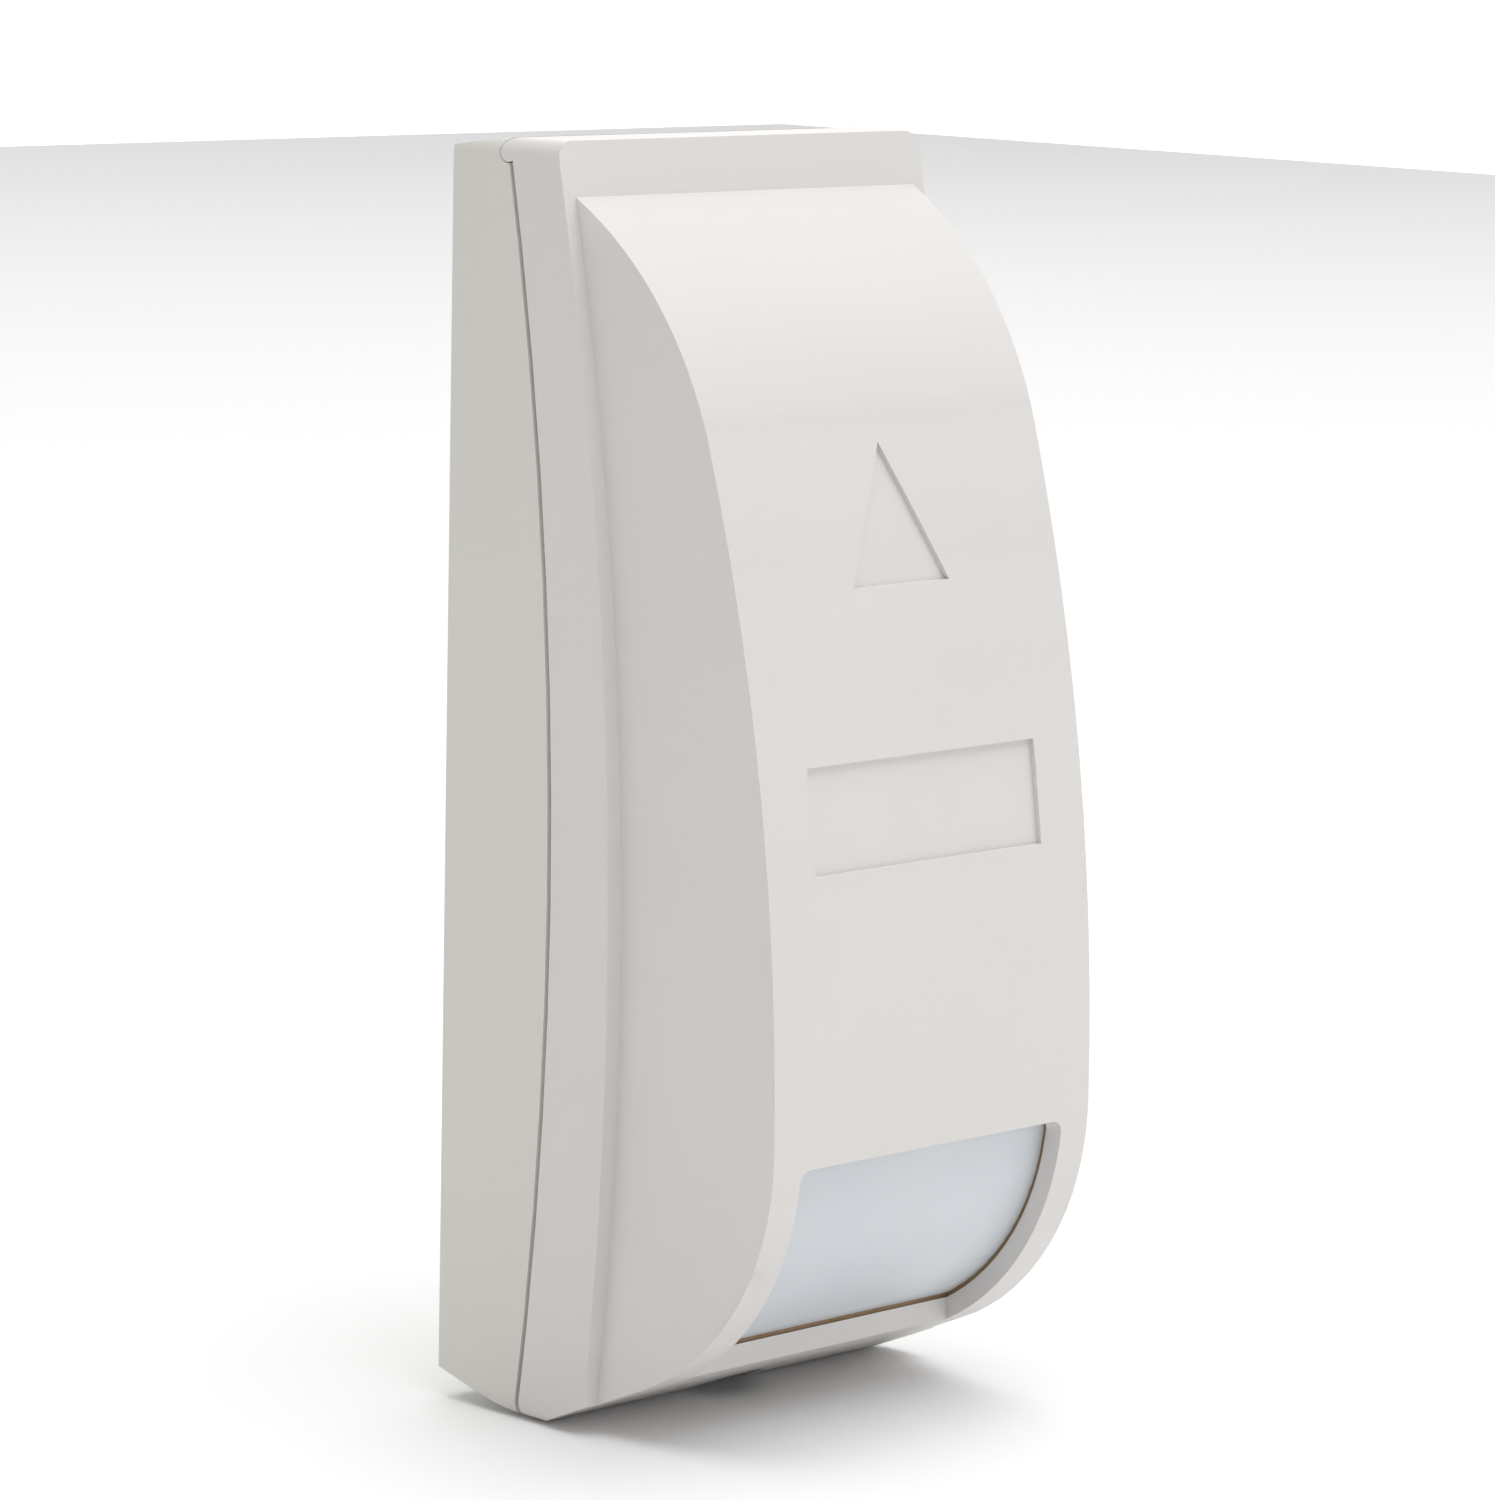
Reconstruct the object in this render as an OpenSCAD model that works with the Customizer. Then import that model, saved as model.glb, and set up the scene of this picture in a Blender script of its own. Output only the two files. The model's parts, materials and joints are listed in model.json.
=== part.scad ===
// Wall-mounted passive infrared motion sensor with a hooded front cover and a lens low on its front.
// Lengths are millimetres. The shapes are drawn with z counted from the foot of the case and depth counted
// from the wall, and in_frame() then moves them so that the origin is the middle of the wall face.

/* [Case] */
// Height of the case
case_h = 112.4; // [106:0.2:136]
// Width of the case
case_w = 44; // [40:0.5:54]
// Wall of both shells
wall = 1.8; // [1.5:0.1:2.2]
// Radius of the case corners, seen from the front
corner_r = 1.6; // [1:0.1:3]
// Depth of the parting line where it is furthest from the wall
seam_depth = 13.6; // [12.5:0.1:16]
// Depth of the parting line at the top of the case
seam_top = 7; // [6.5:0.1:8]
// Height at which the parting line is furthest from the wall
seam_peak = 47; // [40:1:60]
// Gap at the parting line
seam_gap = 0.5; // [0.2:0.05:0.6]
// Depth of the front of the rim where it is furthest from the wall
rim_depth = 21.2; // [20.5:0.1:24]
// Depth of the front of the rim at the top of the case
rim_top = 13.2; // [12.8:0.1:15]
// Height at which the front of the rim is furthest from the wall
rim_peak = 40; // [34:1:50]
// Rise of the underside of the base from the parting line to the wall
foot_rise = 2.6; // [1:0.1:3]
// Fall of the top of the base from the parting line to the wall
top_fall = 0.9; // [0.2:0.1:1.2]
// Depth of the flat strip under the front cover
foot_flat = 2.8; // [2:0.1:3.5]

/* [Hood] */
// How far the hood stands out from the wall
hood_depth = 39.6; // [38:0.2:48]
// Half the width of the hood where it would meet the wall
hood_half = 21.2; // [20:0.1:26]
// Narrowing of each side of the hood per millimetre of depth
hood_draft = 0.04; // [0:0.01:0.06]
// Height at which the hood stands out furthest
front_z = 28; // [27:0.5:32]
// Radius of the brow that slopes back to the top of the case
brow_r = 35; // [30:0.5:40]
// Angle at which the front passes into the brow
brow_a = 17.4; // [15:0.2:20]
// Height left above the brow where it meets the rim
brow_gap = 4.2; // [3.5:0.1:5]
// Radius of the chin under the front
chin_r = 25; // [22:0.5:26]
// Height of the top edge of the window in the hood
window_top = 26.5; // [24:0.5:30]
// Half the width of the window
window_half = 16.3; // [14:0.1:17]
// Depth at which the lower edge of the window lies
window_low_depth = 26; // [23:0.5:28]
// Corner radius of the window
window_r = 1.2; // [0.5:0.1:3]
// Depth of the sunk panels on the hood
sunk = 0.5; // [0.3:0.1:0.7]
// Width of the sunk name panel
panel_w = 28; // [20:1:32]
// Height of the sunk name panel
panel_h = 9.2; // [6:0.2:12]
// Height of the middle of the name panel
panel_z = 56; // [52:0.5:60]
// Width of the sunk arrow
arrow_w = 11.8; // [8:0.2:14]
// Height of the sunk arrow
arrow_h = 12; // [8:0.2:14]
// Height of the foot of the arrow
arrow_z = 75; // [70:0.5:80]

/* [Lens] */
// Thickness of the lens sheet
lens_t = 0.6; // [0.4:0.1:0.8]
// Thickness of the adhesive strip between lens and hood
seal_t = 0.4; // [0.2:0.05:0.5]
// How far the lens reaches past the window all round
lens_lap = 1.4; // [1:0.1:1.4]
// Thickness of the frame that holds the lens
keeper_t = 1.2; // [0.8:0.1:1.5]

/* [Board] */
// Width of the circuit board
board_w = 36; // [34:0.5:38]
// Height of the circuit board
board_h = 90; // [88:0.5:92]
// Thickness of the circuit board
board_t = 1.6; // [1:0.1:2]
// Height of the lower edge of the board
board_z = 10; // [9.5:0.1:11]
// Depth of the back of the board
board_depth = 8; // [7:0.1:8.5]
// Height of the infrared sensor on the board
sensor_z = 21; // [19:0.5:24]

/* [Terminals] */
// Number of terminals
terminals = 6; // [6:1:6]
// Distance between terminals
pitch = 5; // [5:0.02:5.08]
// Lift of a clamp from open to closed
clamp_lift = 1.35; // [0.9:0.05:1.4]

/* [Fixings] */
// Diameter of the wall screw holes
wall_hole_d = 4.2; // [3.6:0.1:5]
// Distance between the wall screw holes
wall_hole_gap = 60; // [54:1:64]
// Diameter of the cable hole
cable_hole_d = 7; // [5:0.5:7.5]
// Diameter of the thread of the case screw
case_screw_d = 2.9; // [2.5:0.1:3.2]
// Diameter of the head of the case screw
case_head_d = 5.4; // [4.8:0.1:5.6]

/* [Hidden] */

$fn = 48;
eps = 0.01;
far = 200;
play = 0.05;                                   // radial play of anything that turns or slides
slack = 0.2;                                   // clearance round a piece that drops into place
cover_white = [0.93, 0.92, 0.90];
board_front = board_depth + board_t;
inner_half = case_w / 2 - wall;

// ---- curves of the case, as depth from the wall at a height

bow_steps = 12;
function bow(z, peak, most, top) = most - (most - top) * pow((z - peak) / (case_h - peak), 2);
seam = function (z) bow(z, seam_peak, seam_depth, seam_top);
rim_front = function (z) bow(z, rim_peak, rim_depth, rim_top);
rim_middle = function (z) (seam(z) + rim_front(z)) / 2;
function along(curve, from, to, add = 0) =
    [for (i = [0 : bow_steps]) let (z = from + (to - from) * i / bow_steps) [curve(z) + add, z]];
function reverse(v) = [for (i = [len(v) - 1 : -1 : 0]) v[i]];
function arc(centre, r, from, to, steps) =
    [for (i = [0 : steps]) let (a = from + (to - from) * i / steps) centre + r * [cos(a), sin(a)]];
function all_but_last(v) = [for (i = [0 : len(v) - 2]) v[i]];

hinge_depth = seam(case_h);
nose_r = 1.03;                                 // rounded back edge of the cover, on which it swings
nose_play = 0.09;
hinge_z = case_h - nose_r - 0.02;
ceiling = case_h - top_fall - wall;            // underside of the top wall of the base

// The brow, front and chin of the hood are arcs that run into one another. The brow ends inside
// the rim, and the chin runs into a straight that meets the flat strip under the rim.
brow_end_at = [rim_top, case_h - brow_gap];
reach = brow_end_at - [hood_depth - brow_r, front_z];
brow_end = brow_a / 2 + acos((reach[0] * cos(brow_a / 2) + reach[1] * sin(brow_a / 2)) / brow_r);
front_r = brow_r + (reach[1] - brow_r * sin(brow_end)) / sin(brow_a);
front_c = [hood_depth - front_r, front_z];
brow_c = front_c + (front_r - brow_r) * [cos(brow_a), sin(brow_a)];
chin_c = [hood_depth - chin_r, front_z];
foot_at = [seam(0) + foot_flat, 0];
chin_end = atan2(foot_at[1] - chin_c[1], foot_at[0] - chin_c[0])
    + acos(chin_r / norm(foot_at - chin_c));
foot_dir = [-sin(chin_end), cos(chin_end)];

function hood_curve(by) = concat(
    all_but_last(arc(brow_c, brow_r - by, brow_end, brow_a, 16)),
    all_but_last(arc(front_c, front_r - by, brow_a, 0, 12)),
    arc(chin_c, chin_r - by, 0, chin_end, 16));
function foot_corner(by) = [foot_at[0] - by * tan((90 + chin_end) / 2), by];
// Depth of the hood at a height on its front, and at a height on its chin, at an inset
function front_at(z, by) = front_c[0] + sqrt(pow(front_r - by, 2) - pow(z - front_z, 2));
function chin_at(z, by) = chin_c[0] + sqrt(pow(chin_r - by, 2) - pow(front_z - z, 2));

// ---- helpers

module in_frame() {
    translate([0, 0, -case_h / 2]) children();
}

// Stands an outline of [depth, height] up and gives it a width
module side_view(width) {
    rotate([90, 0, -90]) linear_extrude(width, center = true) children();
}

// Stands an outline of [x, height] up between two depths
module front_view(near, to) {
    translate([0, -near, 0]) rotate([90, 0, 0]) linear_extrude(to - near) children();
}

// Places a child on the face of the board, with its own z pointing away from the wall
module on_board(x, z) {
    translate([x, -board_front, z]) rotate([90, 0, 0]) children();
}

module block(size) {
    translate([-size[0] / 2, -size[1] / 2, 0]) cube(size);
}

module rounded_rect(w, low, high, r) {
    for (x = [-1, 1], z = [low + r, high - r])
        translate([x * (w / 2 - r), z]) circle(r);
    translate([-w / 2, low + r]) square([w, high - low - 2 * r]);
    translate([-w / 2 + r, low]) square([w - 2 * r, high - low]);
}

// ---- rear base

module base_outline() {
    polygon(concat([[0, foot_rise], [0, case_h - top_fall]],
        reverse(along(seam, 0, case_h, -seam_gap / 2))));
}

module base_hollow() {
    polygon([[wall, foot_rise + wall], [wall, ceiling], [far, ceiling], [far, wall], [seam(0), wall]]);
}

module base_shell() {
    difference() {
        intersection() {
            side_view(case_w) base_outline();
            front_view(-1, far) rounded_rect(case_w, 0, case_h, corner_r);
        }
        side_view(2 * inner_half) base_hollow();
        side_view(far) translate([hinge_depth, hinge_z]) circle(r = nose_r + nose_play);
    }
}

lug_x = case_w / 4;
lug_w = 6;
lug_t = 1.2;
lug_back = 3;                                  // reach of a lug behind the hinge
tip_rise = 0.35;
module lug_pockets() {
    for (x = [-1, 1])
        translate([x * lug_x - lug_w / 2 - slack, -hinge_depth + 1, ceiling - eps])
            cube([lug_w + 2 * slack, lug_back - 0.5, tip_rise + 0.25]);
}

boss_z = board_z + board_h - 3;
board_screw_d = 2.5;
post_x = board_w / 2 - 3;
post_zs = [board_z + 4, board_z + 52];
module board_supports() {
    for (x = [-1, 1], z = post_zs)
        translate([x * post_x, -wall + eps, z]) rotate([90, 0, 0])
            cylinder(d = 3.6, h = board_depth - wall + eps);
    translate([0, -wall + eps, boss_z]) rotate([90, 0, 0])
        cylinder(d = 6, h = board_depth - wall + eps);
    // hooks over the lower edge of the board
    for (x = [-1, 1]) translate([x * post_x, 0, 0]) side_view(4) polygon([
        [wall - eps, board_z - slack - 1.5], [board_front + 1.3, board_z - slack - 1.5],
        [board_front + 1.3, board_z + 1.4], [board_front + slack / 2, board_z + 1.4],
        [board_front + slack / 2, board_z - slack], [wall - eps, board_z - slack]]);
}

screw_depth = seam(0) + 3.6;                   // depth of the case screw's axis
notch_top = 4.9;                               // top of the cover's notched plate
plate_t = 1.5;
tab_w = 9;
tab_top = board_z - slack - 1.5;
tab_out = screw_depth + 3.6;
module screw_tab() {
    difference() {
        side_view(tab_w) polygon([
            [wall - eps, tab_top], [tab_out, tab_top], [tab_out, notch_top + 1.2],
            [seam(0) - 1, notch_top + slack], [wall - eps, notch_top + slack]]);
        translate([0, -screw_depth, 0])
            cylinder(r = case_screw_d / 2 + play, h = tab_top + 1);
    }
}

tongue_t = 0.8;
module tongues() {
    for (s = [-1, 1]) translate([s * (inner_half - slack - 0.1 - tongue_t / 2), 0, 0])
        side_view(tongue_t) polygon(concat(
            along(seam, 12, case_h - 9, -wall - 1), reverse(along(seam, 12, case_h - 9, 1.6))));
    for (s = [-1, 1]) translate([s * (inner_half - 0.6), 0, 0])
        side_view(1.6) polygon(concat(
            along(seam, 12, case_h - 9, -wall - 1), reverse(along(seam, 12, case_h - 9, -wall))));
}

cable_z = board_z + board_h + cable_hole_d / 2 + 0.9;
module rear_base() {
    color(cover_white) difference() {
        union() {
            base_shell();
            board_supports();
            screw_tab();
            tongues();
        }
        lug_pockets();
        for (s = [-1, 1]) translate([0, 1, case_h / 2 + s * wall_hole_gap / 2]) rotate([90, 0, 0])
            cylinder(d = wall_hole_d, h = wall + 2);
        translate([0, 1, cable_z]) rotate([90, 0, 0]) cylinder(d = cable_hole_d, h = wall + 2);
        translate([0, -wall, boss_z]) rotate([90, 0, 0])
            cylinder(r = board_screw_d / 2 - 0.2, h = board_depth);
    }
}

// ---- front cover

module above_foot(by) {
    polygon([[-far, by], foot_corner(by), foot_corner(by) + far * foot_dir, [-far, 2 * far]]);
}

module rim_outline() {
    intersection() {
        polygon(concat(along(seam, -1, case_h, seam_gap / 2), reverse(along(rim_front, -1, case_h))));
        above_foot(0);
    }
    translate([hinge_depth, hinge_z]) circle(r = nose_r);
}

module rim_hollow() {
    intersection() {
        polygon(concat([[seam(0) - 1, -1], [hinge_depth + nose_r, case_h - wall]],
            reverse(along(rim_front, -1, case_h - wall, -wall))));
        above_foot(wall);
    }
}

// Outline of the hood at an inset from its outside
module hood_outline(by) {
    polygon(concat([[0, hood_curve(by)[0][1]]], hood_curve(by), [foot_corner(by), [0, by]]));
}

module hood(by) {
    intersection() {
        side_view(far) hood_outline(by);
        translate([0, 0, -far]) linear_extrude(2 * far) polygon([
            for (c = [[-1, 0], [1, 0], [1, 1], [-1, 1]])
                [c[0] * (hood_half - by - hood_draft * c[1] * 60), -c[1] * 60]]);
    }
}

module front_of_rim_middle() {
    side_view(far) polygon(concat(along(rim_middle, -1, case_h), [[far, case_h], [far, -1]]));
}

// Curved sheet between two insets from the outside of the hood
module hood_sheet(out, deep) {
    side_view(far) difference() {
        hood_outline(out);
        hood_outline(deep);
    }
}

// Everything in front of the window, seen from the front and from below
module window_prism(grow) {
    low = window_low_depth - grow;
    front_view(low, far) rounded_rect(2 * (window_half + grow), -10, window_top + grow, window_r);
}

module arrow_prism() {
    front_view(20, far) polygon([[-arrow_w / 2, arrow_z], [arrow_w / 2, arrow_z],
        [0, arrow_z + arrow_h]]);
}

module panel_prism() {
    front_view(20, far) translate([-panel_w / 2, panel_z - panel_h / 2]) square([panel_w, panel_h]);
}

module lugs() {
    arm_top = ceiling - slack;
    for (x = [-1, 1]) translate([x * lug_x, 0, 0]) side_view(lug_w) polygon([
        [hinge_depth + 3.5, case_h - wall + 0.3], [hinge_depth + 3.5, arm_top - lug_t],
        [hinge_depth - lug_back, arm_top - lug_t], [hinge_depth - lug_back, ceiling + tip_rise],
        [hinge_depth - lug_back + 1, ceiling + tip_rise], [hinge_depth - lug_back + 1, arm_top],
        [hinge_depth + 1.2, arm_top], [hinge_depth + 1.2, case_h - wall + 0.3]]);
}

notch_half = case_head_d / 2 + 0.9;            // half width of the pocket for the screw head
module head_pocket() {
    translate([0, -screw_depth, -1]) cylinder(r = notch_half, h = notch_top - plate_t + 1);
    translate([-notch_half, -screw_depth, -1])
        cube([2 * notch_half, screw_depth, notch_top - plate_t + 1]);
}

module pocket_walls() {
    half = notch_half + 1.2;
    difference() {
        intersection() {
            translate([-half, -screw_depth - half, 0])
                cube([2 * half, half + screw_depth - seam(0) - seam_gap, notch_top]);
            side_view(far) above_foot(0.4);
        }
        translate([0, -screw_depth, 0]) cylinder(r = case_screw_d / 2 + slack, h = far);
        translate([-case_screw_d / 2 - slack, -screw_depth, 0])
            cube([case_screw_d + 2 * slack, screw_depth, far]);
    }
}

tamper_x = -12;
tamper_z = 72;
plunger_top = 13;                              // height of the plunger's tip over the board
module tamper_rib() {
    tip = board_front + plunger_top + 0.1;
    translate([tamper_x, -front_at(tamper_z, wall / 2), tamper_z]) rotate([-90, 0, 0])
        cylinder(d = 4.6, h = front_at(tamper_z, wall / 2) - tip);
}

keeper_in = wall + seal_t + lens_t;            // inset of the outer face of the lens keeper
catch_zs = [13, 23];
module lens_catches() {
    for (s = [-1, 1], z = catch_zs)
        let (depth = chin_at(z, keeper_in + keeper_t + 0.9),
             side = hood_half - wall - hood_draft * depth)
            translate([s * (side - 0.5), -depth, z]) rotate([0, 90, 0])
                cylinder(r = 0.7, h = 2, center = true);
}

module cover_shell() {
    difference() {
        union() {
            intersection() {
                side_view(case_w) rim_outline();
                front_view(-1, far) rounded_rect(case_w, 0, case_h, corner_r);
            }
            intersection() {
                hood(0);
                front_of_rim_middle();
            }
        }
        side_view(2 * inner_half) rim_hollow();
        hood(wall);
        window_prism(0);
        intersection() {
            hood_sheet(-1, sunk);
            union() {
                arrow_prism();
                panel_prism();
            }
        }
    }
}

module front_cover() {
    color(cover_white) difference() {
        union() {
            cover_shell();
            lugs();
            pocket_walls();
            tamper_rib();
            lens_catches();
        }
        head_pocket();
    }
}

// ---- lens and what holds it

module lens_zone(grow) {
    front_view(window_low_depth - 1.5 - grow, far)
        rounded_rect(2 * (window_half + grow), -10, window_top + grow + 0.8, window_r);
}

module lens() {
    color([0.96, 0.97, 0.98]) intersection() {
        hood_sheet(wall + seal_t, wall + seal_t + lens_t);
        lens_zone(lens_lap - 0.4);
    }
}

module lens_seal() {
    color([0.66, 0.42, 0.22]) difference() {
        intersection() {
            hood_sheet(wall, wall + seal_t);
            lens_zone(lens_lap - 0.4);
        }
        window_prism(0.15);
    }
}

module lens_keeper() {
    color([0.20, 0.20, 0.21]) difference() {
        intersection() {
            hood_sheet(keeper_in, keeper_in + keeper_t);
            lens_zone(lens_lap - 0.6);
        }
        window_prism(-1.2);
    }
}

// ---- board and screws

module circuit_board() {
    color([0.07, 0.36, 0.20]) difference() {
        translate([-board_w / 2, -board_front, board_z]) cube([board_w, board_t, board_h]);
        translate([0, 0, boss_z]) rotate([90, 0, 0]) cylinder(r = board_screw_d / 2 + slack, h = far);
        for (x = lead_xs) translate([x, 0, sensor_z]) rotate([90, 0, 0]) cylinder(r = 0.5, h = far);
        at_terminals() translate([0, pin_z, -far / 2]) cylinder(r = pin_d / 2 + 0.1, h = far);
        for (x = jumper_xs, s = [-1, 1]) on_board(x + s * jumper_pitch / 2, jumper_z)
            translate([0, 0, -far / 2]) cylinder(r = pin_side / 2 * sqrt(2) + 0.05, h = far);
    }
}

module screw_head_slots(d, depth) {
    for (turn = [0, 90]) rotate(turn) block([d, 0.7, depth]);
}

module board_screw() {
    color("silver") translate([0, -board_front, boss_z]) rotate([90, 0, 0]) difference() {
        union() {
            cylinder(d = 4.6, h = 1.5);
            translate([0, 0, -board_t - 5]) cylinder(r = board_screw_d / 2 - 0.2, h = board_t + 5 + eps);
        }
        translate([0, 0, 0.8]) screw_head_slots(2.8, 1);
    }
}

head_t = 1.7;
module case_screw() {
    color("silver") translate([0, -screw_depth, notch_top - plate_t - 0.05]) difference() {
        union() {
            translate([0, 0, -head_t]) cylinder(d = case_head_d, h = head_t);
            cylinder(d = case_screw_d, h = tab_top - notch_top + plate_t);
        }
        translate([0, 0, -head_t - eps]) screw_head_slots(3.2, 0.9);
    }
}

// ---- infrared sensor

seat_t = 1;
can_h = 4;
lead_xs = [-2, 0, 2];
module infrared_sensor() {
    color("silver") on_board(0, sensor_z) translate([0, 0, seat_t]) difference() {
        union() {
            cylinder(d = 9.2, h = 0.6);
            cylinder(d = 8.2, h = can_h);
        }
        translate([0, 0, 0.6]) cylinder(d = 7.6, h = can_h - 1);
        translate([0, 0, can_h - 1]) block([4.6, 3.8, 2]);
    }
}

module sensor_filter() {
    color([0.16, 0.14, 0.16]) on_board(0, sensor_z) translate([0, 0, seat_t + can_h - 0.35])
        block([4.5, 3.7, 0.3]);
}

module sensor_leads() {
    color("gold") for (x = lead_xs) on_board(x, sensor_z) translate([0, 0, -board_t - 1.2])
        cylinder(d = 0.5, h = board_t + 1.2 + seat_t);
}

module sensor_seat() {
    color([0.15, 0.15, 0.15]) on_board(0, sensor_z) difference() {
        cylinder(d = 11, h = seat_t);
        for (x = lead_xs) translate([x, 0, -1]) cylinder(d = 0.7, h = seat_t + 2);
    }
}

// ---- terminal block, with clamps that rise as their screws turn

block_z = 88;
block_h = 10;
block_d = 8.2;
well_d = 3.6;
shelf = [7.2, 8.2];                            // heights of the shelf under the screw heads
clamp_w = 3.6;
clamp_h = 4.4;
clamp_d = 4.8;
clamp_low = 1.2;
clamp_t = 0.8;
thread_d = 2.2;
pin_d = 0.9;
pin_z = block_d / 2 - 0.9;                     // height of the pins over the middle of the block

module at_terminals() {
    for (i = [1 : terminals]) on_board((i - (terminals + 1) / 2) * pitch, block_z) children();
}

module terminal_block() {
    color([0.10, 0.42, 0.26]) difference() {
        on_board(0, block_z) block([terminals * pitch, block_d, block_h]);
        at_terminals() {
            translate([0, 0, shelf[1]]) cylinder(d = well_d, h = block_h);
            cylinder(r = thread_d / 2 + slack, h = block_h);
            translate([0, 0, clamp_low - slack])
                block([clamp_w + 2 * slack, clamp_d + 2 * slack, shelf[0] - clamp_low + slack]);
            translate([0, clamp_d / 2 + 1, clamp_low + clamp_t])
                block([clamp_w - 0.6, clamp_d, clamp_h - 2 * clamp_t]);
        }
    }
}

module terminal_pins() {
    color("silver") at_terminals() translate([0, pin_z, -board_t - 1.6])
        cylinder(d = pin_d, h = board_t + 1.6);
}

module terminal_screw(i) {
    color("gold") on_board((i - (terminals + 1) / 2) * pitch, block_z) difference() {
        union() {
            translate([0, 0, shelf[1] + play]) cylinder(r = well_d / 2 - 0.1, h = 1.3);
            translate([0, 0, clamp_low + clamp_t + clamp_lift + 0.15])
                cylinder(d = thread_d, h = shelf[1] + 0.5 - clamp_low - clamp_t - clamp_lift);
        }
        translate([0, 0, shelf[1] + 0.8]) block([4, 0.7, 1]);
    }
}

module terminal_clamp(i) {
    color([0.80, 0.80, 0.78]) on_board((i - (terminals + 1) / 2) * pitch, block_z)
        translate([0, 0, clamp_low]) difference() {
            block([clamp_w, clamp_d, clamp_h]);
            translate([0, 0, clamp_t]) block([clamp_w - 1.2, clamp_d + 2, clamp_h - 2 * clamp_t]);
            translate([0, 0, clamp_h / 2]) cylinder(r = thread_d / 2 + play, h = clamp_h);
        }
}

// ---- tamper switch and controls

stem_r = 1.6;
plunger_play = 0.08;
plunger_foot = 0.9;                            // room under the plunger's foot
module tamper_switch() {
    color([0.13, 0.13, 0.13]) on_board(tamper_x, tamper_z) difference() {
        block([6, 6, 3.5]);
        translate([0, 0, 0.6]) cylinder(r = stem_r + 0.7, h = 2.2);
        translate([0, 0, 0.6]) cylinder(r = stem_r + plunger_play, h = 4);
    }
}

module tamper_plunger() {
    color([0.92, 0.90, 0.84]) on_board(tamper_x, tamper_z) {
        translate([0, 0, 0.6 + plunger_foot]) cylinder(r = stem_r, h = plunger_top - 0.6 - plunger_foot);
        translate([0, 0, 0.6 + plunger_foot]) cylinder(r = stem_r + 0.5, h = 1.1);
    }
}

trimmer_x = 12;
trimmer_z = 33;
module trimmer_body() {
    color([0.12, 0.30, 0.62]) on_board(trimmer_x, trimmer_z) difference() {
        block([6.6, 6.6, 3.6]);
        translate([0, 0, 1.6]) cylinder(r = 2.3 + play, h = 4);
    }
}

module trimmer_rotor() {
    color([0.93, 0.93, 0.90]) on_board(trimmer_x, trimmer_z) translate([0, 0, 1.7]) difference() {
        cylinder(r = 2.3, h = 2.2);
        translate([0, 0, 1.3]) {
            block([3.6, 0.8, 2]);
            block([0.8, 2, 2]);
        }
    }
}

jumper_z = 44;
jumper_xs = [-13, -7];
jumper_pitch = 2.54;
pin_side = 0.64;
module jumper_pins() {
    color("gold") for (x = jumper_xs, s = [-1, 1])
        on_board(x + s * jumper_pitch / 2, jumper_z) translate([0, 0, -board_t - 1])
            block([pin_side, pin_side, board_t + 1 + 8]);
    color([0.1, 0.1, 0.1]) for (x = jumper_xs) on_board(x, jumper_z) block([5, 2.5, 2.4]);
}

module jumper_cap(x) {
    color([0.75, 0.12, 0.10]) on_board(x, jumper_z) translate([0, 0, 2.5]) difference() {
        block([4.9, 2.4, 6.2]);
        for (s = [-1, 1]) translate([s * jumper_pitch / 2, 0, -1])
            block([pin_side + 0.2, pin_side + 0.2, 6.8]);
    }
}

// ---- other parts on the board

module alarm_relay() {
    color([0.90, 0.88, 0.80]) on_board(9, 70) block([10.2, 15.4, 11]);
}

led_x = 9;
led_h = 5.4;
module status_led() {
    color([0.80, 0.10, 0.08]) on_board(led_x, sensor_z) {
        cylinder(d = 3.8, h = 1);
        cylinder(d = 3, h = led_h - 1.5);
        translate([0, 0, led_h - 1.5]) sphere(d = 3);
    }
}

chip_stand = 0.15;
module microcontroller() {
    color([0.12, 0.12, 0.13]) on_board(-9, 33) translate([0, 0, chip_stand]) difference() {
        block([8.7, 3.9, 1.5]);
        translate([-3.5, -1.2, 1.35]) cylinder(d = 0.7, h = 1);
    }
}

module amplifier_chip() {
    color([0.12, 0.12, 0.13]) on_board(0, 42) translate([0, 0, chip_stand]) difference() {
        block([4.9, 3.9, 1.5]);
        translate([-1.7, -1.2, 1.35]) cylinder(d = 0.7, h = 1);
    }
}

module leg(turn) {
    rotate([90, 0, turn]) translate([0, 0, -0.2]) linear_extrude(0.4) polygon([
        [1.95, 0.8], [2.5, 0.8], [2.7, 0.2], [3.2, 0.2], [3.2, 0], [2.55, 0],
        [2.35, 0.6], [1.95, 0.6]]);
}

module chip_legs() {
    color("silver") {
        for (s = [0 : 6], turn = [90, 270]) on_board(-9 + (s - 3) * 1.27, 33) leg(turn);
        for (s = [0 : 3], turn = [90, 270]) on_board((s - 1.5) * 1.27, 42) leg(turn);
    }
}

module voltage_regulator() {
    color([0.12, 0.12, 0.13]) on_board(-3, 78) block([6.5, 3.5, 1.6]);
}

module crystal() {
    color("silver") on_board(10, 45) for (s = [-1, 1]) {
        translate([s * 3, 0, 0]) cylinder(r = 2, h = 3.4);
        translate([-3, -2, 0]) cube([6, 4, 3.4]);
    }
}

module can_capacitor(d, h) {
    cylinder(d = d, h = h - 0.4);
    cylinder(d = d - 0.8, h = h);
}

module capacitor_tall() {
    color([0.10, 0.12, 0.30]) on_board(-3.5, 66) can_capacitor(6.3, 11);
}

module capacitor_short() {
    color([0.10, 0.12, 0.30]) on_board(12, 55) can_capacitor(5, 7);
}

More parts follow.
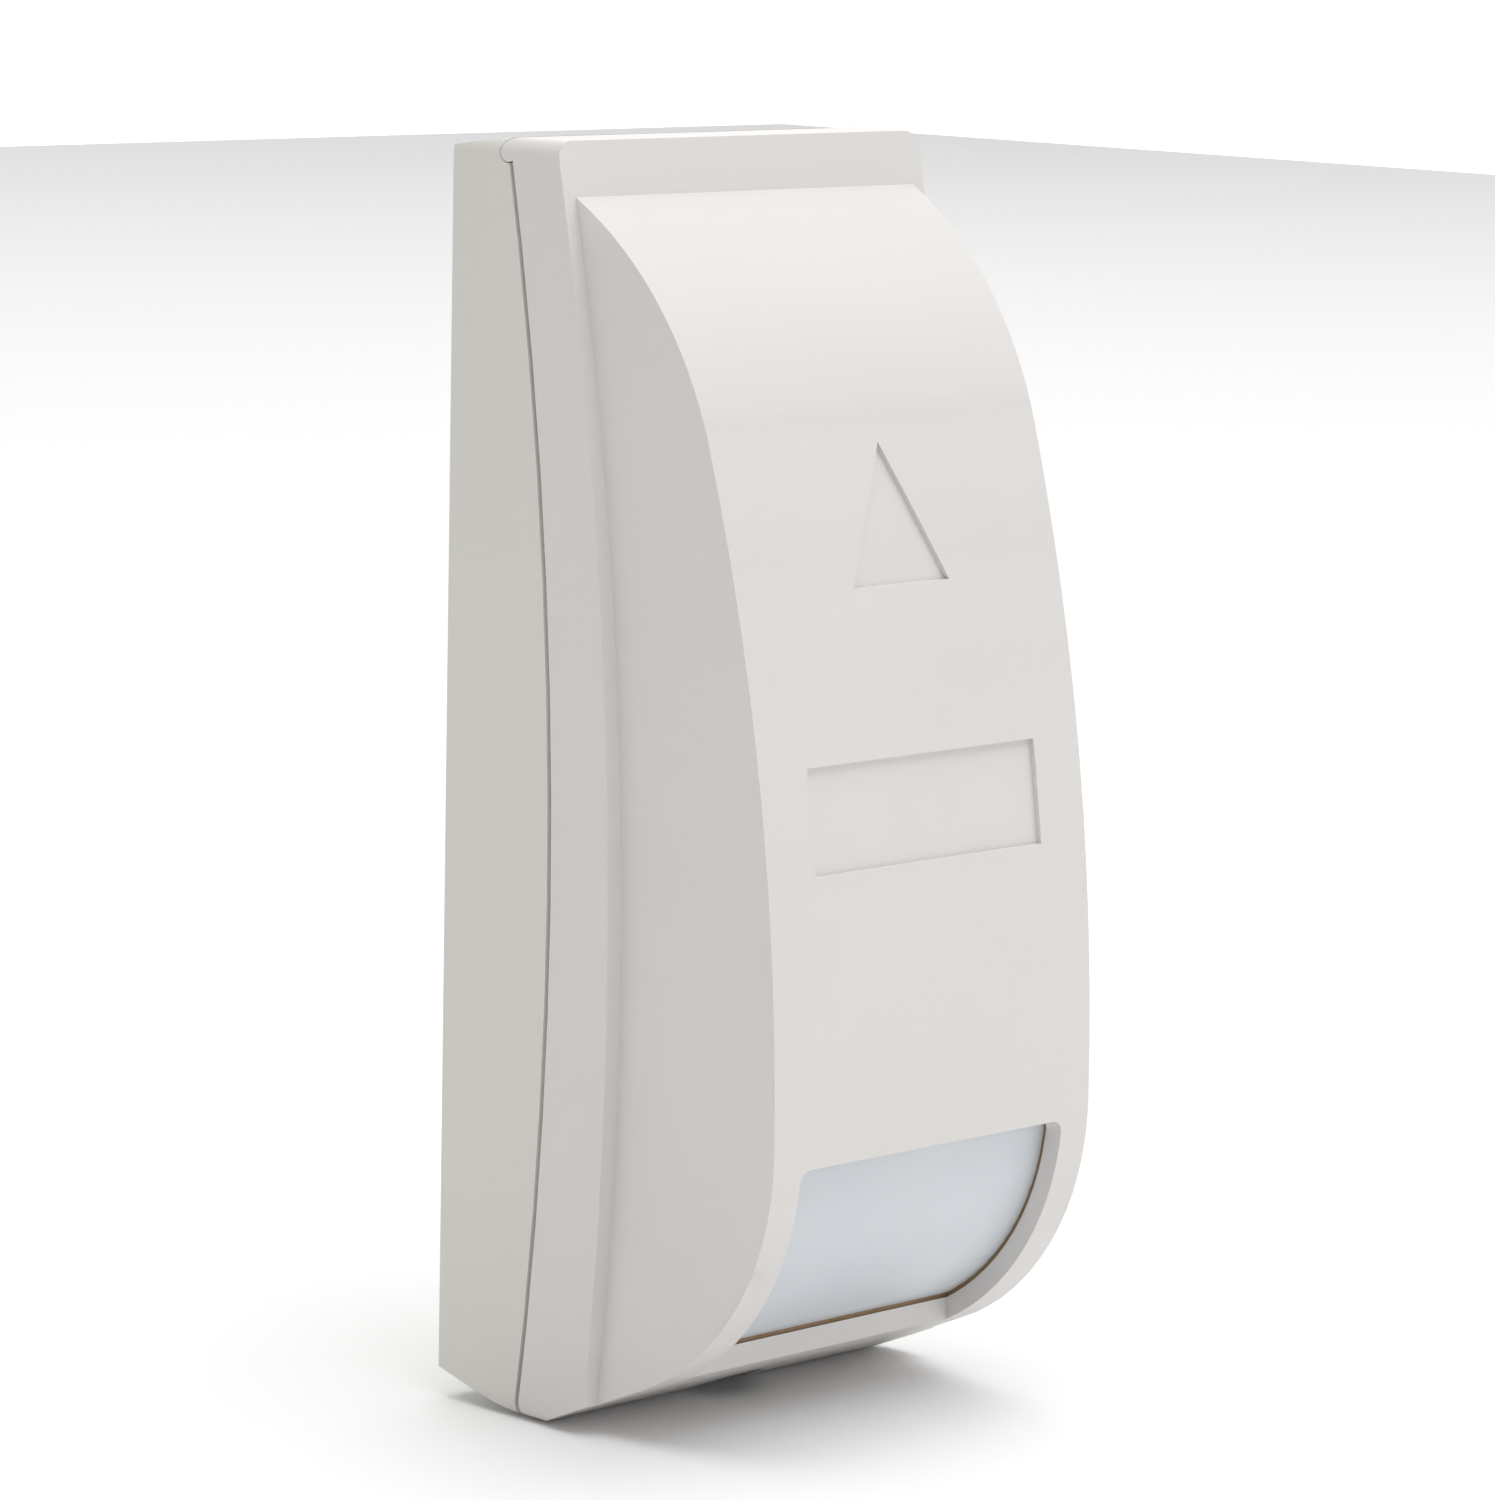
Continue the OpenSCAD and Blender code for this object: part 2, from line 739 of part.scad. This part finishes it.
module small_components() {
    color([0.45, 0.40, 0.35]) {
        for (x = [-12, -8, 6, 10], z = [26.5]) on_board(x, z) block([2, 1.25, 0.6]);
        for (x = [-14, -11, -8], z = [52, 56]) on_board(x, z) block([2, 1.25, 0.6]);
        for (x = [-2, 2], z = [30, 34]) on_board(x, z) block([2, 1.25, 0.6]);
    }
}

in_frame() rear_base();
in_frame() front_cover();
in_frame() lens();
in_frame() lens_seal();
in_frame() lens_keeper();
in_frame() circuit_board();
in_frame() board_screw();
in_frame() case_screw();
in_frame() infrared_sensor();
in_frame() sensor_filter();
in_frame() sensor_leads();
in_frame() sensor_seat();
in_frame() terminal_block();
in_frame() terminal_pins();
for (i = [1 : terminals]) {
    in_frame() terminal_screw(i);
    in_frame() terminal_clamp(i);
}
in_frame() tamper_switch();
in_frame() tamper_plunger();
in_frame() alarm_relay();
in_frame() status_led();
in_frame() microcontroller();
in_frame() amplifier_chip();
in_frame() chip_legs();
in_frame() voltage_regulator();
in_frame() crystal();
in_frame() capacitor_tall();
in_frame() capacitor_short();
in_frame() small_components();
in_frame() jumper_pins();
in_frame() jumper_cap(jumper_xs[0]);  // jumper_cap_left
in_frame() jumper_cap(jumper_xs[1]);  // jumper_cap_right
in_frame() trimmer_body();
in_frame() trimmer_rotor();
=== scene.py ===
import json
import math

import bmesh
import bpy
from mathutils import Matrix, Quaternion, Vector


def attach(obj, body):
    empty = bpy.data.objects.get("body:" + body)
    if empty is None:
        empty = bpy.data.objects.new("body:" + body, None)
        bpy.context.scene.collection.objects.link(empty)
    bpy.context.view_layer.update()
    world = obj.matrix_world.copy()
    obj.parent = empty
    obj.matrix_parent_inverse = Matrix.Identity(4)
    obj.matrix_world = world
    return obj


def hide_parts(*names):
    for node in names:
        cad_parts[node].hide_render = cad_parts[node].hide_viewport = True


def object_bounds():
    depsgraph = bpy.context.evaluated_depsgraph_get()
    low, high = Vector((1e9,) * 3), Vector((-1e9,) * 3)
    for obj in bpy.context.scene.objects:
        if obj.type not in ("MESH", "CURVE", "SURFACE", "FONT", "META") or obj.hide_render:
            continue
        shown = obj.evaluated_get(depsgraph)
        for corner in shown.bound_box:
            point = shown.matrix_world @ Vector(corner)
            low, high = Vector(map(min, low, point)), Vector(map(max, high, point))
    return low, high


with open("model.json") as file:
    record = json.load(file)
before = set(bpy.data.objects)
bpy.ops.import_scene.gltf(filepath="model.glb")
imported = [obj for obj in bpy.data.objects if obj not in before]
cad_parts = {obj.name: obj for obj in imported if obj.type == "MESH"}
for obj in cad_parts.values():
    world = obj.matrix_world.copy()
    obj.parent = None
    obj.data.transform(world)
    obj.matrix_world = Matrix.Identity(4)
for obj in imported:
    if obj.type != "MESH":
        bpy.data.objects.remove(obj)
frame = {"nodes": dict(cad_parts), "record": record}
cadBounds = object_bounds()
lowest, highest = cadBounds
mm = 0.001
print("frame loaded:", len(frame["nodes"]), "nodes")


camera = {"lens": 144, "place": (-0.3685, -0.3908, 0.0837), "target": (-0.0045, -0.0200, 0.0030),
          "roll": 1.16}
cameraData = bpy.data.cameras.new("camera")
cameraData.lens = camera["lens"]
cameraObject = bpy.data.objects.new("camera", cameraData)
bpy.context.scene.collection.objects.link(cameraObject)
look = Vector(camera["target"]) - Vector(camera["place"])
cameraObject.location = camera["place"]
cameraObject.rotation_mode = "QUATERNION"
cameraObject.rotation_quaternion = (look.to_track_quat("-Z", "Y")
                                    @ Quaternion((0, 0, 1), math.radians(camera["roll"])))
bpy.context.scene.camera = cameraObject
bpy.context.scene.view_settings.view_transform = "Standard"


def linear(code):
    parts = [int(code[i:i + 2], 16) / 255 for i in (1, 3, 5)]
    return tuple(c / 12.92 if c <= 0.04045 else ((c + 0.055) / 1.055) ** 2.4 for c in parts) + (1,)


# adds one node, with its settings and what is plugged into it
def addNode(tree, kind, settings=None, links=None):
    node = tree.nodes.new(kind)
    for key, value in (settings or {}).items():
        if key in node.inputs:
            node.inputs[key].default_value = value
        else:
            setattr(node, key, value)
    for key, source in (links or {}).items():
        tree.links.new(source, node.inputs[key])
    return node


def addLight(name, place, aim, size, power):
    data = bpy.data.lights.new(name, "AREA")
    data.shape = "RECTANGLE"
    data.size, data.size_y = size
    data.energy = power
    light = bpy.data.objects.new(name, data)
    light.location = place
    light.rotation_euler = (Vector(aim) - Vector(place)).to_track_quat("-Z", "Y").to_euler()
    bpy.context.scene.collection.objects.link(light)


# a white backdrop behind, a dimmer room in front, a very broad box overhead and a weak one in front
studio = {"roomLevel": 0.38, "backdropLevel": 1.4, "topPower": 62, "frontPower": 3.0}
middle = (0, -0.02, 0)
addLight("topBox", (0.1, -0.3, 2.2), middle, (3.0, 3.0), studio["topPower"])
addLight("frontBox", (0.5, -1.4, 0.5), middle, (1.0, 1.0), studio["frontPower"])
world = bpy.data.worlds.new("softRoom")
world.use_nodes = True
worldTree = world.node_tree
direction = addNode(worldTree, "ShaderNodeTexCoord").outputs["Generated"]
towards = addNode(worldTree, "ShaderNodeVectorMath", {"operation": "DOT_PRODUCT"})
towards.inputs[1].default_value = (0.70, 0.71, 0)
worldTree.links.new(direction, towards.inputs[0])
level = addNode(worldTree, "ShaderNodeMapRange",
                {"From Min": 0.70, "From Max": 0.88, "To Min": studio["roomLevel"],
                 "To Max": studio["backdropLevel"]}, {"Value": towards.outputs["Value"]})
worldTree.nodes["Background"].inputs["Color"].default_value = (1, 1, 1, 1)
worldTree.links.new(level.outputs["Result"], worldTree.nodes["Background"].inputs["Strength"])
bpy.context.scene.world = world
print("camera and lights placed")


def startMaterial(name, base, roughness, metallic=0.0, ior=1.5):
    material = bpy.data.materials.new(name)
    material.use_nodes = True
    tree = material.node_tree
    tree.nodes.clear()
    shader = addNode(tree, "ShaderNodeBsdfPrincipled",
                     {"Base Color": linear(base), "Roughness": roughness, "Metallic": metallic})
    if not metallic:
        shader.inputs["IOR"].default_value = ior
    addNode(tree, "ShaderNodeOutputMaterial", links={"Surface": shader.outputs["BSDF"]})
    coords = addNode(tree, "ShaderNodeTexCoord").outputs["Object"]
    return material, tree, shader, coords


def addGrain(tree, shader, coords, size, depth, strength=1.0):
    noise = addNode(tree, "ShaderNodeTexNoise", {"Scale": 1 / (size * mm), "Detail": 3.0},
                    {"Vector": coords})
    bump = addNode(tree, "ShaderNodeBump", {"Distance": depth * mm, "Strength": strength},
                   {"Height": noise.outputs["Fac"]})
    tree.links.new(bump.outputs["Normal"], shader.inputs["Normal"])


# lets the colour and the gloss drift between two values over a patch of the given size
def addDrift(tree, shader, coords, pale, dark, size, rough):
    noise = addNode(tree, "ShaderNodeTexNoise", {"Scale": 1 / (size * mm), "Detail": 2.0},
                    {"Vector": coords})
    mix = addNode(tree, "ShaderNodeMix", {"data_type": "RGBA"},
                  {"Factor": noise.outputs["Fac"]})
    mix.inputs[6].default_value = linear(pale)
    mix.inputs[7].default_value = linear(dark)
    tree.links.new(mix.outputs[2], shader.inputs["Base Color"])
    gloss = addNode(tree, "ShaderNodeMapRange", {"To Min": rough[0], "To Max": rough[1]},
                    {"Value": noise.outputs["Fac"]})
    tree.links.new(gloss.outputs["Result"], shader.inputs["Roughness"])


# ABS from a spark-eroded mould: warm white, faintly grained, a soft wide highlight
def mouldedAbs(name, pale, dark):
    material, tree, shader, coords = startMaterial(name, pale, 0.42, ior=1.54)
    addDrift(tree, shader, coords, pale, dark, 24, (0.38, 0.47))
    addGrain(tree, shader, coords, 0.30, 0.012)
    return material


# high-density polyethylene sheet: milky, cooler than the case, lit from within
def polyethylene():
    material, tree, shader, coords = startMaterial("mouldedPolyethylene", "#D4D8DC", 0.33, ior=1.54)
    addDrift(tree, shader, coords, "#D6DADE", "#CED3D8", 12, (0.28, 0.36))
    addGrain(tree, shader, coords, 0.6, 0.004)
    shader.inputs["Subsurface Weight"].default_value = 0.2
    shader.inputs["Subsurface Radius"].default_value = (0.003, 0.003, 0.0034)
    return material


# any other moulded plastic: nylon, acetal or epoxy, by its colour and gloss
def moulded(name, pale, dark, rough, grain=0.25):
    material, tree, shader, coords = startMaterial(name, pale, rough[0])
    addDrift(tree, shader, coords, pale, dark, 3, rough)
    addGrain(tree, shader, coords, grain, 0.01)
    return material


# plated or turned metal, with faint tool marks
def metal(name, pale, dark, rough, grain=0.12):
    material, tree, shader, coords = startMaterial(name, pale, rough[0], 1.0)
    addDrift(tree, shader, coords, pale, dark, 1.5, rough)
    addGrain(tree, shader, coords, grain, 0.003)
    return material


# glass-epoxy board under green solder resist; the copper shows paler through it
def laminate():
    material, tree, shader, coords = startMaterial("greenSolderResist", "#17633A", 0.3, ior=1.55)
    cells = addNode(tree, "ShaderNodeTexVoronoi",
                    {"feature": "DISTANCE_TO_EDGE", "distance": "MANHATTAN",
                     "Scale": 1 / (4.5 * mm)},
                    {"Vector": coords})
    copper = addNode(tree, "ShaderNodeMapRange", {"From Min": 0.05, "From Max": 0.07},
                     {"Value": cells.outputs["Distance"]})
    mix = addNode(tree, "ShaderNodeMix", {"data_type": "RGBA"}, {"Factor": copper.outputs["Result"]})
    mix.inputs[6].default_value = linear("#0F4A2A")
    mix.inputs[7].default_value = linear("#1C7444")
    tree.links.new(mix.outputs[2], shader.inputs["Base Color"])
    bump = addNode(tree, "ShaderNodeBump", {"Distance": 0.03 * mm},
                   {"Height": copper.outputs["Result"]})
    tree.links.new(bump.outputs["Normal"], shader.inputs["Normal"])
    return material


finishes = {
    "case_abs": mouldedAbs("mouldedAbs", "#DCD9D7", "#D8D5D2"),
    "lens_polyethylene": polyethylene(),
    "adhesive_strip": moulded("tanAdhesive", "#8E7556", "#80684B", (0.55, 0.7)),
    "black_abs": moulded("blackAbs", "#1B1B1C", "#151516", (0.4, 0.5)),
    "green_laminate": laminate(),
    "zinc_plated_steel": metal("zincPlatedSteel", "#C6C8CB", "#B4B7BA", (0.28, 0.4)),
    "nickel_steel": metal("nickelPlatedSteel", "#D6D2CB", "#C9C5BE", (0.18, 0.28)),
    "filter_window": moulded("coatedSilicon", "#231C28", "#1B1620", (0.1, 0.16)),
    "gold_plated_pins": metal("goldFlash", "#E3BE6B", "#D4AE5C", (0.22, 0.3)),
    "green_nylon": moulded("greenNylon", "#1D7A4A", "#196C41", (0.42, 0.52)),
    "tinned_copper": metal("tinnedCopper", "#D0D0CC", "#BFBFBB", (0.3, 0.45)),
    "brass_screws": metal("turnedBrass", "#D9BF7A", "#C8AD68", (0.24, 0.36)),
    "ivory_acetal": moulded("ivoryAcetal", "#ECE6D4", "#E4DDC9", (0.32, 0.42)),
    "cream_relay_case": moulded("creamPolyester", "#E0D8BE", "#D8D0B5", (0.3, 0.4)),
    "red_epoxy": moulded("redEpoxy", "#C22A20", "#B0231A", (0.12, 0.2)),
    "black_epoxy": moulded("blackEpoxy", "#232325", "#1C1C1E", (0.5, 0.62), 0.12),
    "capacitor_sleeve": moulded("shrunkSleeve", "#1F2A52", "#1A2446", (0.25, 0.35)),
    "ceramic_chips": moulded("firedCeramic", "#8A735A", "#7A654E", (0.4, 0.55), 0.15),
    "red_nylon": moulded("redNylon", "#B8332A", "#A82C24", (0.4, 0.5)),
    "blue_nylon": moulded("blueNylon", "#2C5FB5", "#2655A4", (0.35, 0.45))}
slotOf = {part["node"]: part["material_slot"] for part in frame["record"]["subparts"]}


def paint(piece, slot):
    piece.data.materials.clear()
    piece.data.materials.append(finishes[slot])


for name, node in frame["nodes"].items():
    paint(node, slotOf[name])
print("materials made:", len(finishes))


# copies a CAD node's mesh, merges it and lets a rule name the rounding of each outward edge
def roundedPiece(name, node, body, rules, segments=3):
    bm = bmesh.new()
    bm.from_mesh(frame["nodes"][node].data)
    bmesh.ops.remove_doubles(bm, verts=bm.verts, dist=0.0005 * mm)
    bmesh.ops.dissolve_limit(bm, angle_limit=math.radians(0.4), verts=bm.verts, edges=bm.edges,
                             use_dissolve_boundaries=False)
    for width, test in rules:
        edges = [edge for edge in bm.edges if edge.is_manifold
                 and edge.calc_face_angle_signed(0) > math.radians(28) and test(edge)]
        bmesh.ops.bevel(bm, geom=edges, offset=width * mm, offset_type="OFFSET", affect="EDGES",
                        segments=segments, profile=0.5, material=-1, clamp_overlap=True)
        print(name, "edges rounded:", len(edges))
    for face in bm.faces:
        face.smooth = True
    for edge in bm.edges:
        edge.smooth = not edge.is_manifold or edge.calc_face_angle(0) < math.radians(24)
    mesh = bpy.data.meshes.new(name)
    bm.to_mesh(mesh)
    bm.free()
    piece = bpy.data.objects.new(name, mesh)
    bpy.context.scene.collection.objects.link(piece)
    paint(piece, slotOf[node])
    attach(piece, body)
    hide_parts(node)
    return piece


# millimetres: roundings, and the bounds that pick out the edges they go on
case = {"hoodRound": 1.0, "rimRound": 0.7, "lipRound": 0.25, "hoodSide": 18.4, "hoodFrom": 13.4,
        "rimFrom": 12, "lipFrom": 3, "hingeRoom": 3, "steepest": 0.6, "shortest": 2, "frontFrom": 15}
# which faces count as the hood's front, by their normals, and how far a normal may be turned
hood = {"sideways": 0.02, "outward": 0.2, "closeness": 0.97}
halfWidth = highest.x / mm


def centre(edge):
    return (edge.verts[0].co + edge.verts[1].co) / 2 / mm


def alongHood(edge):
    point = centre(edge)
    both = [abs(v.co.x) / mm for v in edge.verts]
    return (min(both) > case["hoodSide"] and max(both) < halfWidth - 0.5
            and -point.y > case["hoodFrom"]
            and abs(edge.verts[0].co.x - edge.verts[1].co.x) < case["steepest"] * mm)


def alongRim(edge):
    point = centre(edge)
    return (abs(point.x) > halfWidth - 0.1 and -point.y > case["rimFrom"]
            and edge.calc_length() > case["shortest"] * mm)


# the sides of the base's front lip, short of the hinge groove
def alongLip(edge):
    point = centre(edge)
    return (abs(point.x) > halfWidth - 0.1 and -point.y > case["lipFrom"]
            and point.z < highest.z / mm - case["hingeRoom"])


# shades the hood's front as one smooth curve: its normals turn with height alone
def smoothHood(piece):
    mesh = piece.data
    front = [face for face in mesh.polygons
             if abs(face.normal.x) < hood["sideways"] and -face.normal.y > hood["outward"]
             and -face.center.y > case["frontFrom"] * mm]
    spans = {}
    for face in front:
        key = round(math.degrees(math.atan2(face.normal.z, -face.normal.y)), 1)
        low, high = spans.get(key, (1, -1))  # metres, beyond any height on the piece
        heights = [mesh.vertices[i].co.z for i in face.vertices]
        spans[key] = (min(low, *heights), max(high, *heights))
    curve = sorted(((low + high) / 2, key) for key, (low, high) in spans.items())

    def turnAt(z):
        if z <= curve[0][0]:
            return curve[0][1]
        for (z0, a0), (z1, a1) in zip(curve, curve[1:]):
            if z <= z1:
                return a0 + (a1 - a0) * (z - z0) / max(z1 - z0, 1e-9)
        return curve[-1][1]

    normals = [Vector(corner.vector) for corner in mesh.corner_normals]
    for face in front:
        for loop in face.loop_indices:
            turn = math.radians(turnAt(mesh.vertices[mesh.loops[loop].vertex_index].co.z))
            smooth = Vector((0, -math.cos(turn), math.sin(turn)))
            if smooth.dot(face.normal) > hood["closeness"]:
                normals[loop] = smooth
    mesh.normals_split_custom_set(normals)
    print("hood strips:", len(curve))


coverShell = roundedPiece("coverShell", "front_cover", "cover",
                          [(case["hoodRound"], alongHood), (case["rimRound"], alongRim)])
baseShell = roundedPiece("baseShell", "rear_base", "base", [(case["lipRound"], alongLip)])
lensSheet = roundedPiece("lensSheet", "lens", "cover", [])
smoothHood(coverShell)
baseShell.data.materials[0] = mouldedAbs("mouldedAbsWarm", "#DAD8D2", "#D6D4CD")
print("case pieces made")


bm = bmesh.new()
paper = {"halfWidth": 1.6, "below": 0.0002}  # metres
bmesh.ops.create_grid(bm, x_segments=1, y_segments=1, size=paper["halfWidth"])
bmesh.ops.translate(bm, verts=bm.verts, vec=(0, 0, lowest.z - paper["below"]))
floorMesh = bpy.data.meshes.new("floor")
bm.to_mesh(floorMesh)
bm.free()
floor = bpy.data.objects.new("floor", floorMesh)
bpy.context.scene.collection.objects.link(floor)
floorMesh.materials.append(startMaterial("mattPaper", "#F4F4F4", 0.9)[0])

print("scene finished")
